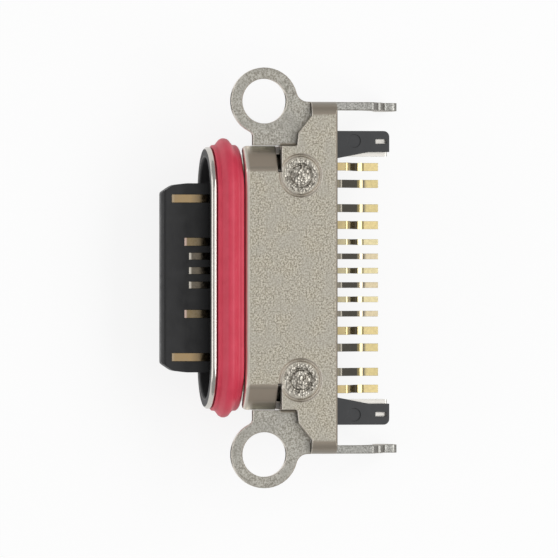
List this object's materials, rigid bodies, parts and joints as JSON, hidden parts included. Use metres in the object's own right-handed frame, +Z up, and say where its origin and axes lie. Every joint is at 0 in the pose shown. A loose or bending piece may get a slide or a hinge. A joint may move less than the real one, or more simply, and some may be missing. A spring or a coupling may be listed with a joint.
{
  "type": "charging port",
  "caption": "Sealed reversible charging port: drawn steel mouth with a contact tongue, red gasket, stamped cover, screw ears and solder tails for a phone board.",
  "frame": {"origin": "on the mid-plane of the tongue, straight below the middle of the line between the two screw holes", "axes": "+X along the mouth, from one screw ear to the other; -Y out of the mouth towards the plug; +Z up, away from the board"},
  "size_m": [0.0146, 0.0084, 0.004],
  "materials": {
    "drawn_steel": "deep-drawn stainless steel, satin",
    "stamped_steel": "stamped stainless steel with a fine matt grain",
    "plate_steel": "rolled stainless sheet, bright",
    "red_silicone": "moulded silicone, soft sheen",
    "black_moulding": "glass-filled black moulding, matt",
    "gold_plate": "copper alloy strip with gold plating",
    "sealing_resin": "cured sealing resin"
  },
  "bodies": {
    "root": {"front_shell": "drawn_steel", "sealing_gasket": "red_silicone", "cover_plate": "stamped_steel", "ear_bracket": "stamped_steel", "tongue_housing": "black_moulding", "mid_plate": "plate_steel", "rear_potting": "sealing_resin", "upper_ground_left": "gold_plate", "upper_power_left": "gold_plate", "upper_config": "gold_plate", "upper_data_plus": "gold_plate", "upper_data_minus": "gold_plate", "upper_power_right": "gold_plate", "upper_ground_right": "gold_plate", "lower_ground_left": "gold_plate", "lower_power_left": "gold_plate", "lower_config": "gold_plate", "lower_data_plus": "gold_plate", "lower_data_minus": "gold_plate", "lower_power_right": "gold_plate", "lower_ground_right": "gold_plate"}
  },
  "joints": []
}
